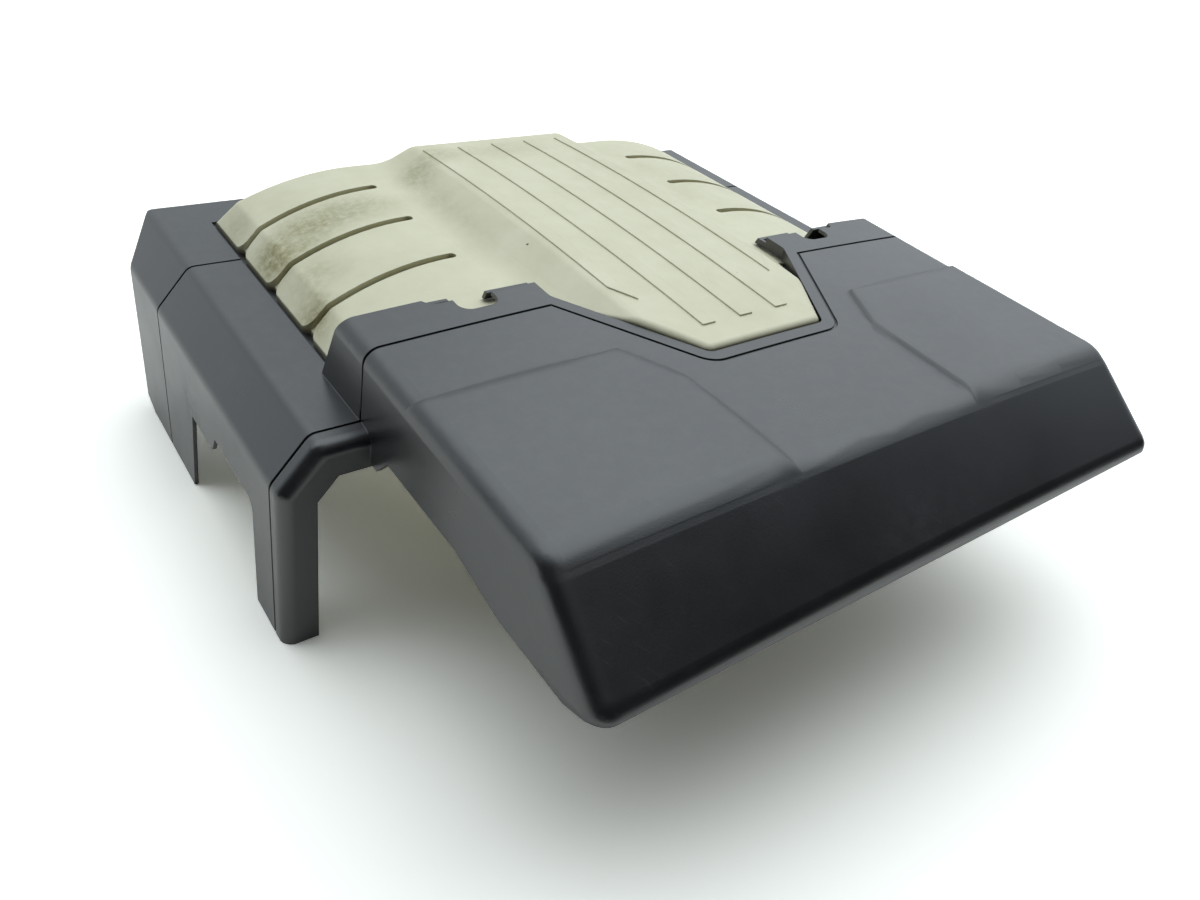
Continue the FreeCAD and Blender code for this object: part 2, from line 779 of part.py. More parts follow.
def save(shape, node):
    """Writes one piece to its own file and prints what it measures."""
    box = shape.optimalBoundingBox()
    print(node, "solids", len(shape.Solids), "valid", shape.isValid(), "volume", round(shape.Volume),
          "x", round(box.XMin, 2), round(box.XMax, 2), "y", round(box.YMin, 2), round(box.YMax, 2),
          "z", round(box.ZMin, 2), round(box.ZMax, 2))
    shape.exportStep("parts/" + node + ".step")


os.makedirs("parts", exist_ok=True)
save(main_cover(), "main_cover")
save(centre_panel(), "centre_panel")
save(Part.makeCompound([panel_screw(*place) for place in screw_places()]), "panel_screws")
for name, x, y, foot in tower_places():
    save(grommet(x, y, foot), "grommet_" + name)
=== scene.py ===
# %% [markdown]
# # Engine cover in a white studio
# The part is a plastic cover that sits over a car engine: one dark moulding with a pale panel let into
# it. The exact shapes come from CAD. This lesson gives them real finishes, soft edges, light and a
# camera.

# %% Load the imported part
import math

import bmesh
import bpy
from mathutils import Euler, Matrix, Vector


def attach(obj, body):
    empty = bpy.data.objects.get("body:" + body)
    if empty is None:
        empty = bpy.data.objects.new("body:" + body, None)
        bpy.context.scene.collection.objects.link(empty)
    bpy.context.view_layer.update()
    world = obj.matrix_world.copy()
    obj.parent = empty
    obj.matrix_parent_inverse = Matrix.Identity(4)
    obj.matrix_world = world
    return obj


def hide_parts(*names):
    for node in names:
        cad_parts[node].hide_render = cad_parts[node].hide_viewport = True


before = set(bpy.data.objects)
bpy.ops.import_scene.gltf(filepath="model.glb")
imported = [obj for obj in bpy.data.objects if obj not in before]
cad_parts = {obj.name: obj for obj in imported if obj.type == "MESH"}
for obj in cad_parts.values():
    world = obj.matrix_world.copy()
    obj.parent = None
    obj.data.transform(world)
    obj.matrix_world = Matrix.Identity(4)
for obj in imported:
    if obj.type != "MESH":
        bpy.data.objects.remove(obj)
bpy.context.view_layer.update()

print("nodes:", sorted(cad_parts))

# %% [markdown]
# ## Units and colours
# Blender works in metres and in linear light. Makers think in millimetres and in screen colours. One
# value and one small function translate, so every size below is a real one and every colour can be read
# off a swatch.

# %% Millimetres and screen colours
MM = 0.001


def linear(swatch):
    """An sRGB hex swatch as the linear RGBA that Blender's colour sockets take."""
    channels = [int(swatch[place:place + 2], 16) / 255 for place in (1, 3, 5)]
    light = [c / 12.92 if c <= 0.04045 else ((c + 0.055) / 1.055) ** 2.4 for c in channels]
    return (*light, 1.0)


print("charcoal in linear light:", [round(c, 4) for c in linear("#191a1d")])

# %% [markdown]
# ## Camera
# The cover is seen from the front left, a little above, through a fairly wide lens held slightly tilted.
# A plain perspective camera at that place is enough. The sensor is the usual 36 mm, so the lens is in
# familiar terms.

# %% Camera at the front left
sensor_mm = 36.0
lens_mm = 27.89
camera_place_mm = (-443.7, -495.5, 500.6)
camera_turn_degrees = (53.722, -7.399, -35.461)
camera_data = bpy.data.cameras.new("front left camera")
camera_data.sensor_width = sensor_mm
camera_data.lens = lens_mm
camera = bpy.data.objects.new("front left camera", camera_data)
camera.location = Vector(camera_place_mm) * MM
camera.rotation_euler = Euler([math.radians(angle) for angle in camera_turn_degrees])
bpy.context.scene.collection.objects.link(camera)
bpy.context.scene.camera = camera
bpy.context.scene.view_settings.view_transform = "Standard"
print("camera distance in mm:", round(camera.location.length / MM))

# %% [markdown]
# ## One helper for nodes
# A material is a small graph. Adding a node always means the same three things: make it, set its options,
# and fill its inputs with a value or with another node's output. One function does all of that.

# %% Add a node with its settings and links


def add_node(tree, kind, inputs=None, **settings):
    """Adds one node. An input given as a socket is linked, and any other value is set."""
    made = tree.nodes.new(kind)
    for name, value in settings.items():
        setattr(made, name, value)
    for key, value in (inputs or {}).items():
        if isinstance(value, bpy.types.NodeSocket):
            tree.links.new(value, made.inputs[key])
        else:
            made.inputs[key].default_value = value
    return made


def empty_material(name):
    """A new material with nothing in its tree but the output."""
    material = bpy.data.materials.new(name)
    material.use_nodes = True
    material.node_tree.nodes.clear()
    output = material.node_tree.nodes.new("ShaderNodeOutputMaterial")
    return material, material.node_tree, output


print("helpers:", add_node.__name__, empty_material.__name__)

# %% [markdown]
# ## Floor
# The cover lies on a white sheet. One large square is enough for it, because the sheet is flat.

# %% Floor mesh
floor_half = 6.0
floor_mesh = bpy.data.meshes.new("studio_floor")
floor_corners = [(-floor_half, -floor_half, 0), (floor_half, -floor_half, 0),
                 (floor_half, floor_half, 0), (-floor_half, floor_half, 0)]
floor_mesh.from_pydata(floor_corners, [], [(0, 1, 2, 3)])
floor = bpy.data.objects.new("studio_floor", floor_mesh)
bpy.context.scene.collection.objects.link(floor)
print("floor side in m:", 2 * floor_half)

# %% [markdown]
# ## White paper
# Paper is matte, so a diffuse shader gives it, and it keeps the soft shadow under the cover. The eye sees
# the sheet with a second diffuse layer on top, and the reflections in the plastic see a share of it, so
# the ground is white without more light on the part. A little way in front of the cover the floor turns
# dark for reflections only, a painted dark reflection in the front edges; the eye still sees white there.

# %% Paper with a painted dark reflection in front
dark_reflection_from = -0.42
dark_reflection_full = -0.8
mirrored_share = 0.3
paper, tree, output = empty_material("white paper")
rays = add_node(tree, "ShaderNodeLightPath").outputs
watched = add_node(tree, "ShaderNodeMath",
                   {0: rays["Is Glossy Ray"], 1: mirrored_share, 2: rays["Is Camera Ray"]},
                   operation="MULTIPLY_ADD")
sheet = add_node(tree, "ShaderNodeBsdfDiffuse", {"Color": linear("#f2f0ea")})
extra = add_node(tree, "ShaderNodeBsdfDiffuse", {"Color": linear("#d2cfc7")})
bright = add_node(tree, "ShaderNodeAddShader", {0: sheet.outputs[0], 1: extra.outputs[0]})
ground = add_node(tree, "ShaderNodeMixShader",
                  {0: watched.outputs[0], 1: sheet.outputs[0], 2: bright.outputs[0]})
floor_place = add_node(tree, "ShaderNodeTexCoord").outputs["Object"]
depth = add_node(tree, "ShaderNodeSeparateXYZ", {0: floor_place}).outputs["Y"]
past_reflection_line = add_node(tree, "ShaderNodeMapRange",
                      {"Value": depth, "From Min": dark_reflection_from, "From Max": dark_reflection_full},
                      interpolation_type="SMOOTHSTEP")
dark_reflection_share = add_node(tree, "ShaderNodeMath", {0: past_reflection_line.outputs[0], 1: rays["Is Glossy Ray"]},
                operation="MULTIPLY")
# Painted dark reflection: a dark floor that only reflections see, past a line in front of the cover.
painted_dark_reflection = add_node(tree, "ShaderNodeBsdfDiffuse", {"Color": linear("#202020")})
shown = add_node(tree, "ShaderNodeMixShader",
                 {0: dark_reflection_share.outputs[0], 1: ground.outputs[0], 2: painted_dark_reflection.outputs[0]})
tree.links.new(shown.outputs[0], output.inputs["Surface"])
floor_mesh.materials.append(paper)
print("paper:", paper.name)

# %% [markdown]
# ## Light
# The studio is brightest overhead, pale at the rear and dark in front. The light from above falls on the
# floor and the rounded crease, the light from the rear makes the grey sheen on the flat tops, and the dark
# front leaves the sloping front nearly black. Such even light has no edges, so the world gives it: its
# level grows with height and fades to the front and the left. The camera itself sees plain white there.

# %% Light that grows with height
side_level = 0.92
side_top = 0.4
overhead_level = 2.3
overhead_start = 0.95
front_share = 0.03
to_the_rear = (0.33, 0.86, 0.39)
fade_start = 0.02
fade_end = 0.42
world = bpy.data.worlds.new("white studio")
world.use_nodes = True
tree = world.node_tree
tree.nodes.clear()
rays = add_node(tree, "ShaderNodeLightPath").outputs
direction = add_node(tree, "ShaderNodeTexCoord").outputs["Generated"]
height = add_node(tree, "ShaderNodeSeparateXYZ", {0: direction}).outputs["Z"]
rise = add_node(tree, "ShaderNodeMapRange",
                {"Value": height, "From Min": side_top, "From Max": overhead_start,
                 "To Min": side_level, "To Max": overhead_level}, interpolation_type="SMOOTHSTEP")
rearward = add_node(tree, "ShaderNodeVectorMath", {0: direction, 1: to_the_rear}, operation="DOT_PRODUCT")
fade = add_node(tree, "ShaderNodeMapRange",
                {"Value": rearward.outputs["Value"], "From Min": fade_start, "From Max": fade_end,
                 "To Min": front_share, "To Max": 1.0}, interpolation_type="SMOOTHSTEP")
level = add_node(tree, "ShaderNodeMath", {0: rise.outputs[0], 1: fade.outputs[0]}, operation="MULTIPLY")
lit = add_node(tree, "ShaderNodeBackground", {"Color": linear("#e9f2f8"), "Strength": level.outputs[0]})
seen = add_node(tree, "ShaderNodeBackground", {"Color": linear("#fbfdfb"), "Strength": 1.0})
mixed = add_node(tree, "ShaderNodeMixShader",
                 {0: rays["Is Camera Ray"], 1: lit.outputs[0], 2: seen.outputs[0]})
add_node(tree, "ShaderNodeOutputWorld", {"Surface": mixed.outputs[0]})
bpy.context.scene.world = world
print("world:", world.name)

# %% [markdown]
# ## Two soft lamps
# A large lamp high at the rear right gives the light its direction: the panel's left shoulder goes a
# little darker than its top, and the bonnet's right half gets the stronger sheen. A weak one over the
# front keeps the dark slope and the floor before it readable.

# %% Lamps at the rear right and over the front


def soft_lamp(name, place, aim, width, height, watts, swatch):
    """A rectangular lamp at a place, turned to shine at a point."""
    lamp_data = bpy.data.lights.new(name, "AREA")
    lamp_data.shape = "RECTANGLE"
    lamp_data.size = width
    lamp_data.size_y = height
    lamp_data.energy = watts
    lamp_data.color = linear(swatch)[:3]
    lamp = bpy.data.objects.new(name, lamp_data)
    lamp.location = place
    lamp.rotation_euler = (Vector(aim) - Vector(place)).to_track_quat("-Z", "Y").to_euler()
    bpy.context.scene.collection.objects.link(lamp)


soft_lamp("rear soft lamp", place=(1.75, 0.95, 1.6), aim=(0, 0, 0.15),
          width=2.6, height=2.0, watts=7, swatch="#f4f9ff")
soft_lamp("front soft lamp", place=(-0.3, -1.4, 2.4), aim=(0, -0.5, 0),
          width=2.2, height=1.6, watts=2, swatch="#fffaf2")
print("lamps:", [lamp.name for lamp in bpy.data.lights])

# %% [markdown]
# ## Where dirt and wear lie
# A used part is never evenly dirty: hands, oil and dust leave marks at certain places. A mark could be
# painted on an image, but a place in millimetres and a reach on each axis describe it just as well, and
# need no file. The marks of one finish are added up to a single factor, which a broken noise then frays.

# %% Add up soft marks


def marks(tree, place, spots):
    """Adds soft marks, each a centre and a reach in mm and a strength, to one factor."""
    total = 0.0
    for centre, reach, strength in spots:
        local = add_node(tree, "ShaderNodeMapping",
                         {"Vector": place, "Location": Vector(centre) * MM, "Scale": Vector(reach) * MM},
                         vector_type="TEXTURE")
        away = add_node(tree, "ShaderNodeVectorMath", {0: local.outputs[0]}, operation="LENGTH")
        mark = add_node(tree, "ShaderNodeMapRange",
                        {"Value": away.outputs["Value"], "From Min": 1.0, "From Max": 0.0},
                        interpolation_type="SMOOTHSTEP")
        total = add_node(tree, "ShaderNodeMath", {0: mark.outputs[0], 1: strength, 2: total},
                         operation="MULTIPLY_ADD").outputs[0]
    return total


print("helper:", marks.__name__)

# %% [markdown]
# ## Charcoal polypropylene
# The dark cover is injection moulded polypropylene. The mould's etched grain breaks up the shine to a
# satin sheen. Noise at the grain's size drives the bump, and broad noise shifts the colour and later the
# roughness a little. The real grain is about 0.4 mm and would be lost at this distance, so it is drawn at
# 1.1 mm.

# %% Grain and patches of the dark cover
grain_size = 1.1 * MM
patch_size = 90 * MM
charcoal, tree, output = empty_material("charcoal moulded polypropylene")
place = add_node(tree, "ShaderNodeTexCoord").outputs["Object"]
grain = add_node(tree, "ShaderNodeTexNoise",
                 {"Vector": place, "Scale": 1 / grain_size, "Detail": 2.0, "Roughness": 0.5})
patches = add_node(tree, "ShaderNodeTexNoise",
                   {"Vector": place, "Scale": 1 / patch_size, "Detail": 5.0, "Roughness": 0.6})
tone = add_node(tree, "ShaderNodeValToRGB", {"Fac": patches.outputs["Fac"]})
tone.color_ramp.elements[0].position = 0.3
tone.color_ramp.elements[0].color = linear("#121316")
tone.color_ramp.elements[1].position = 0.75
tone.color_ramp.elements[1].color = linear("#191a1d")
print("grain drawn at mm:", grain_size / MM)

# %% [markdown]
# ## Soft edges
# No edge of a moulding is sharp. The Bevel node rounds the shading of each edge by a radius and needs no
# new faces. The raised pads and the upright front edges run out more softly than the rest, so marks that
# lie along them widen the radius there.

# %% Rounded edges of the dark cover
edge_radius = 0.9 * MM
soft_radius = 9 * MM
soft_gain = 1.6
grain_depth = 0.15 * MM
grain_strength = 0.3
soft_edges = [((side * x, y, z), reach, 1.0) for side in (-1, 1) for x, y, z, reach in (
    (92, -205, 208, (22, 84, 30)),
    (103, -136, 208, (26, 44, 30)),
    (185, -114, 208, (110, 22, 30)),
    (246, -278, 160, (24, 44, 90)),
)]
soft = add_node(tree, "ShaderNodeMath", {0: marks(tree, place, soft_edges), 1: soft_gain},
                operation="MULTIPLY", use_clamp=True)
radius = add_node(tree, "ShaderNodeMapRange",
                  {"Value": soft.outputs[0], "To Min": edge_radius, "To Max": soft_radius})
edges = add_node(tree, "ShaderNodeBevel", {"Radius": radius.outputs[0]}, samples=8)
relief = add_node(tree, "ShaderNodeBump",
                  {"Height": grain.outputs["Fac"], "Strength": grain_strength, "Distance": grain_depth,
                   "Normal": edges.outputs[0]})
print("soft edges:", len(soft_edges))

# %% [markdown]
# ## Wear on the dark cover
# Scratches are noise stretched some eighty times along one axis, so that only thin streaks pass the
# threshold, and they come in groups. Smears are placed marks with a frayed edge. Both show pale on dark
# plastic and dull its sheen.

# %% Scratches and smears
scratch_width = 0.7 * MM
scratch_length = 55 * MM
scratch_turn = (0.5, 0.3, 0.9)
scratch_share = 0.6
smear_fray = 11 * MM
smear_spots = [
    ((-315, 121, 85), (20, 34, 34), 0.5),
    ((-299, 66, 142), (14, 30, 14), 0.35),
    ((-254, -248, 157), (10, 36, 14), 0.6),
    ((-14, -293, 169), (60, 22, 22), 0.12),
]
turned = add_node(tree, "ShaderNodeMapping",
                  {"Vector": place, "Rotation": scratch_turn,
                   "Scale": (scratch_width, scratch_length, scratch_width)}, vector_type="TEXTURE")
streaks = add_node(tree, "ShaderNodeTexNoise", {"Vector": turned.outputs[0], "Scale": 1.0, "Detail": 1.0})
groups = add_node(tree, "ShaderNodeMapRange",
                  {"Value": patches.outputs["Fac"], "From Min": 0.5, "From Max": 0.68,
                   "To Min": 0.0, "To Max": scratch_share})
lines = add_node(tree, "ShaderNodeMapRange",
                 {"Value": streaks.outputs["Fac"], "From Min": 0.69, "From Max": 0.75})
scratches = add_node(tree, "ShaderNodeMath", {0: lines.outputs[0], 1: groups.outputs[0]},
                     operation="MULTIPLY")
fray = add_node(tree, "ShaderNodeTexNoise",
                {"Vector": place, "Scale": 1 / smear_fray, "Detail": 6.0, "Roughness": 0.7})
frayed = add_node(tree, "ShaderNodeMapRange",
                  {"Value": fray.outputs["Fac"], "From Min": 0.42, "From Max": 0.66})
smears = add_node(tree, "ShaderNodeMath", {0: marks(tree, place, smear_spots), 1: frayed.outputs[0]},
                  operation="MULTIPLY")
wear = add_node(tree, "ShaderNodeMath", {0: scratches.outputs[0], 1: smears.outputs[0]},
                operation="MAXIMUM")
print("smears:", len(smear_spots))

# %% [markdown]
# ## Dust and skin
# A trace of dust lies on the faces that look up, so the normal decides where it goes. Then the layers
# come together in one shader. The IOR starts from polypropylene's usual 1.5 and is raised, because the
# real cover's sheen is stronger than that gives.

# %% Dust and the finished skin of the cover
dust_share = 0.04
level_from = 0.85
smooth_roughness = 0.27
dull_roughness = 0.36
wear_dulls = 0.3
filled_ior = 1.8
normal = add_node(tree, "ShaderNodeNewGeometry").outputs["Normal"]
upward = add_node(tree, "ShaderNodeSeparateXYZ", {0: normal})
lying = add_node(tree, "ShaderNodeMapRange",
                 {"Value": upward.outputs["Z"], "From Min": level_from, "From Max": 1.0,
                  "To Min": 0.0, "To Max": dust_share})
dust = add_node(tree, "ShaderNodeMath", {0: lying.outputs[0], 1: frayed.outputs[0]}, operation="MULTIPLY")
worn = add_node(tree, "ShaderNodeMix", {0: wear.outputs[0], 6: tone.outputs["Color"], 7: linear("#4b4c4a")},
                data_type="RGBA")
dusty = add_node(tree, "ShaderNodeMix", {0: dust.outputs[0], 6: worn.outputs[2], 7: linear("#8b8a7c")},
                 data_type="RGBA")
satin = add_node(tree, "ShaderNodeMapRange",
                 {"Value": patches.outputs["Fac"], "From Min": 0.3, "From Max": 0.7,
                  "To Min": smooth_roughness, "To Max": dull_roughness})
dull = add_node(tree, "ShaderNodeMath", {0: wear.outputs[0], 1: wear_dulls, 2: satin.outputs[0]},
                operation="MULTIPLY_ADD")
skin = add_node(tree, "ShaderNodeBsdfPrincipled",
                {"Base Color": dusty.outputs[2], "Roughness": dull.outputs[0], "IOR": filled_ior,
                 "Normal": relief.outputs[0]})
tree.links.new(skin.outputs[0], output.inputs["Surface"])
print("cover finish:", charcoal.name)

# %% [markdown]
# ## Dress the dark moulding
# The CAD mesh already has the true shape and the exact surface normals, so it stays and only changes its
# finish.

# %% Put the finish on the cover


def dress(node_name, material):
    """Gives a CAD node a finish in place of the plain one it was packed with."""
    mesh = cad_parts[node_name].data
    mesh.materials.clear()
    mesh.materials.append(material)
    return mesh


cover = dress("main_cover", charcoal)
print("cover triangles:", len(cover.polygons))

# %% [markdown]
# ## Stone paint
# The panel is a moulding sprayed in a warm stone colour with a low sheen, which gives the eye an even,
# chalky surface with a faint mottle. Sprayed paint also dries with a fine orange peel, drawn at 1.6 mm so
# that it still shows, and it rounds every corner, which a soft edge radius stands for.

# %% Clean paint of the pale panel
mottle_size = 40 * MM
peel_size = 1.6 * MM
peel_depth = 0.1 * MM
peel_strength = 0.2
paint_radius = 1.0 * MM
stone, tree, output = empty_material("stone paint on moulded plastic")
place = add_node(tree, "ShaderNodeTexCoord").outputs["Object"]
mottle = add_node(tree, "ShaderNodeTexNoise",
                  {"Vector": place, "Scale": 1 / mottle_size, "Detail": 6.0, "Roughness": 0.65})
paint = add_node(tree, "ShaderNodeValToRGB", {"Fac": mottle.outputs["Fac"]})
paint.color_ramp.elements[0].position = 0.3
paint.color_ramp.elements[0].color = linear("#d6d2b2")
paint.color_ramp.elements[1].position = 0.7
paint.color_ramp.elements[1].color = linear("#e1ddc0")
edges = add_node(tree, "ShaderNodeBevel", {"Radius": paint_radius}, samples=6)
peel = add_node(tree, "ShaderNodeTexNoise", {"Vector": place, "Scale": 1 / peel_size, "Detail": 2.0})
relief = add_node(tree, "ShaderNodeBump",
                  {"Height": peel.outputs["Fac"], "Strength": peel_strength, "Distance": peel_depth,
                   "Normal": edges.outputs[0]})
print("mottle in mm:", mottle_size / MM)

# %% [markdown]
# ## Grime on the panel
# This is the piece that shows its age. Olive grime lies on the left fingers and on the rear of the
# plateau's shoulder. It is made of placed marks with a frayed edge, because it follows hands and oil, not
# the shape.

# %% Grime on fingers and shoulder
grime_fray = 6 * MM
grime_share = 0.8
grime_spots = [
    ((-190, 168, 188), (92, 37, 50), 1.0),
    ((-236, 152, 170), (28, 36, 28), 1.1),
    ((-222, 104, 178), (44, 36, 36), 0.5),
    ((-217, 143, 182), (34, 16, 22), 0.55),
    ((-233, 70, 171), (24, 32, 24), 0.8),
    ((-237, 226, 168), (24, 36, 26), 0.45),
    ((-240, 60, 164), (22, 40, 20), 0.45),
    ((-93, 196, 208), (26, 36, 30), 0.62),
    ((-70, 214, 214), (34, 34, 30), 0.45),
    ((-10, 212, 220), (90, 40, 30), 0.3),
    ((-100, 140, 204), (22, 120, 30), 0.3),
    ((120, 150, 200), (150, 130, 60), 0.16),
]
fray = add_node(tree, "ShaderNodeTexNoise",
                {"Vector": place, "Scale": 1 / grime_fray, "Detail": 8.0, "Roughness": 0.75})
frayed = add_node(tree, "ShaderNodeMapRange",
                  {"Value": fray.outputs["Fac"], "From Min": 0.34, "From Max": 0.66,
                   "To Min": 0.3, "To Max": 1.0})
grime = add_node(tree, "ShaderNodeMath", {0: marks(tree, place, grime_spots), 1: frayed.outputs[0]},
                 operation="MULTIPLY", use_clamp=True)
stain = add_node(tree, "ShaderNodeMapRange", {"Value": grime.outputs[0], "To Max": grime_share})
grimy = add_node(tree, "ShaderNodeMix",
                 {0: stain.outputs[0], 6: paint.outputs["Color"], 7: linear("#80773c")}, data_type="RGBA")
print("grime spots:", len(grime_spots))

# %% [markdown]
# ## Dirt and painted shade in the grooves
# Oily dust fills the louvre grooves and shade falls in them, so one layer darkens the recesses, found by
# how
# much of the panel itself a point can see: part dirt, part painted shade. The fine ribs on the plateau get
# less of it.

# %% Groove dirt and painted shade
groove_reach = 7 * MM
groove_starts_at = 0.78
groove_full_at = 0.4
plateau_half = 84 * MM
lobe_start = 94 * MM
rib_dirt_and_shade = 0.2
louvre_dirt_and_shade = 0.85
recess = add_node(tree, "ShaderNodeAmbientOcclusion", {"Distance": groove_reach}, samples=10,
                  only_local=True)
across = add_node(tree, "ShaderNodeSeparateXYZ", {0: place})
outward = add_node(tree, "ShaderNodeMath", {0: across.outputs["X"]}, operation="ABSOLUTE")
groove_dirt_and_shade_amount = add_node(tree, "ShaderNodeMapRange",
                   {"Value": outward.outputs[0], "From Min": plateau_half, "From Max": lobe_start,
                    "To Min": rib_dirt_and_shade, "To Max": louvre_dirt_and_shade})
groove_dirt_and_shade = add_node(tree, "ShaderNodeMapRange",
                 {"Value": recess.outputs["AO"], "From Min": groove_starts_at, "From Max": groove_full_at,
                  "To Min": 0.0, "To Max": groove_dirt_and_shade_amount.outputs[0]})
# Part dirt, part painted shade: the olive colour darkens the recesses wherever the panel hides its own
# light.
dirt_and_shade_filled = add_node(tree, "ShaderNodeMix",
                  {0: groove_dirt_and_shade.outputs[0], 6: grimy.outputs[2], 7: linear("#6c6648")}, data_type="RGBA")
print("groove reach in mm:", groove_reach / MM)

# %% [markdown]
# ## Dirt and painted shade along the joint
# A second layer darkens the joint with the dark cover, where the cover closes in and the panel does not:
# part dirt, part painted shade of the gap. The quotient of the two views, one of everything and one of the
# panel alone, is low only there.

# %% Joint dirt and painted shade
joint_reach = 6 * MM
joint_starts_at = 0.92
joint_full_at = 0.55
joint_share = 0.8
nearby = add_node(tree, "ShaderNodeAmbientOcclusion", {"Distance": joint_reach}, samples=10)
enclosed = add_node(tree, "ShaderNodeMath", {0: nearby.outputs["AO"], 1: recess.outputs["AO"]},
                    operation="DIVIDE")
joint = add_node(tree, "ShaderNodeMapRange",
                 {"Value": enclosed.outputs[0], "From Min": joint_starts_at, "From Max": joint_full_at,
                  "To Min": 0.0, "To Max": joint_share})
# Part dirt, part painted shade: the dark colour lines the gap where the cover shades the panel.
lined = add_node(tree, "ShaderNodeMix",
                 {0: joint.outputs[0], 6: dirt_and_shade_filled.outputs[2], 7: linear("#4c4730")}, data_type="RGBA")
print("joint reach in mm:", joint_reach / MM)

# %% [markdown]
# ## Specks and the finished panel
# Small dark specks come from the cells of a Voronoi pattern, in a few cells only. Grime is duller than
# paint, so it raises the roughness. The CAD mesh of the panel stays as well.

# %% Specks and the finished skin of the panel
speck_spacing = 17 * MM
speck_edge = 0.075
speck_core = 0.045
speck_rarity = 0.93
paint_roughness = 0.48
grime_roughness = 0.75
paint_ior = 1.5
cells = add_node(tree, "ShaderNodeTexVoronoi", {"Vector": place, "Scale": 1 / speck_spacing})
dots = add_node(tree, "ShaderNodeMapRange",
                {"Value": cells.outputs["Distance"], "From Min": speck_edge, "From Max": speck_core})
chosen = add_node(tree, "ShaderNodeSeparateColor", {0: cells.outputs["Color"]})
few = add_node(tree, "ShaderNodeMath", {0: chosen.outputs[0], 1: speck_rarity}, operation="GREATER_THAN")
specks = add_node(tree, "ShaderNodeMath", {0: dots.outputs[0], 1: few.outputs[0]}, operation="MULTIPLY")
specked = add_node(tree, "ShaderNodeMix",
                   {0: specks.outputs[0], 6: lined.outputs[2], 7: linear("#4a4533")}, data_type="RGBA")
sheen = add_node(tree, "ShaderNodeMapRange",
                 {"Value": grime.outputs[0], "To Min": paint_roughness, "To Max": grime_roughness})
skin = add_node(tree, "ShaderNodeBsdfPrincipled",
                {"Base Color": specked.outputs[2], "Roughness": sheen.outputs[0], "IOR": paint_ior,
                 "Normal": relief.outputs[0]})
tree.links.new(skin.outputs[0], output.inputs["Surface"])
panel = dress("centre_panel", stone)
print("panel triangles:", len(panel.polygons))

# %% [markdown]
# ## Rubber grommets
# Four rubber sleeves push over ball studs on the engine. They are only seen from below, so the CAD shape
# stays and gets a matte rubber with a faint bloom.

# %% Rubber finish
bloom_size = 4 * MM
rubber_roughness = 0.75
rubber, tree, output = empty_material("moulded black rubber")
place = add_node(tree, "ShaderNodeTexCoord").outputs["Object"]
bloom = add_node(tree, "ShaderNodeTexNoise", {"Vector": place, "Scale": 1 / bloom_size, "Detail": 3.0})
tint = add_node(tree, "ShaderNodeValToRGB", {"Fac": bloom.outputs["Fac"]})
tint.color_ramp.elements[0].color = linear("#161616")
tint.color_ramp.elements[1].color = linear("#262626")
skin = add_node(tree, "ShaderNodeBsdfPrincipled",
                {"Base Color": tint.outputs["Color"], "Roughness": rubber_roughness})
tree.links.new(skin.outputs[0], output.inputs["Surface"])
grommets = [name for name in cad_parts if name.startswith("grommet")]
for name in grommets:
    dress(name, rubber)
print("grommets:", grommets)

# %% [markdown]
# ## Zinc plated steel
# The screws are cold formed steel with a thin zinc plating: a pale grey metal with a slightly cloudy
# shine.

# %% Screw finish
cloud_size = 1.5 * MM
bright_roughness = 0.25
cloudy_roughness = 0.5
zinc, tree, output = empty_material("zinc plated steel")
place = add_node(tree, "ShaderNodeTexCoord").outputs["Object"]
cloud = add_node(tree, "ShaderNodeTexNoise", {"Vector": place, "Scale": 1 / cloud_size, "Detail": 4.0})
plating = add_node(tree, "ShaderNodeValToRGB", {"Fac": cloud.outputs["Fac"]})
plating.color_ramp.elements[0].color = linear("#a3a39c")
plating.color_ramp.elements[1].color = linear("#c9c9c4")
shine = add_node(tree, "ShaderNodeMapRange",
                 {"Value": cloud.outputs["Fac"], "To Min": bright_roughness, "To Max": cloudy_roughness})
skin = add_node(tree, "ShaderNodeBsdfPrincipled",
                {"Base Color": plating.outputs["Color"], "Metallic": 1.0, "Roughness": shine.outputs[0]})
tree.links.new(skin.outputs[0], output.inputs["Surface"])
print("plating:", zinc.name)

# %% [markdown]
# ## Where the screws sit
# CAD has ten plain screws in one node. A merged copy of that mesh falls into ten islands, and each
# island's box gives the middle of a head and the height where the head meets the ledge.

# %% Find the screws
head_height = 2.2 * MM
merge_distance = 0.001 * MM
islands = bmesh.new()
islands.from_mesh(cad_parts["panel_screws"].data)
bmesh.ops.remove_doubles(islands, verts=islands.verts, dist=merge_distance)
waiting = set(islands.verts)
screw_places = []
while waiting:
    island = [waiting.pop()]
    for vertex in island:
        neighbours = {edge.other_vert(vertex) for edge in vertex.link_edges} & waiting
        waiting -= neighbours
        island.extend(neighbours)
    across = [[vertex.co[axis] for vertex in island] for axis in range(3)]
    middle = [(min(side) + max(side)) / 2 for side in across]
    screw_places.append((middle[0], middle[1], min(across[2]) + head_height))
islands.free()
screw_places.sort()
print("screws:", len(screw_places))

# %% [markdown]
# ## Panel screws
# Each is a washer-head screw with a star recess. Ten equal things are a case for Geometry Nodes: one
# screw is built from a flange, a tapered head, a shank and a star that is cut out, and set on ten points.
# The sizes are inputs of the tree. Zero height is where the head meets the ledge, and the shank points
# up.

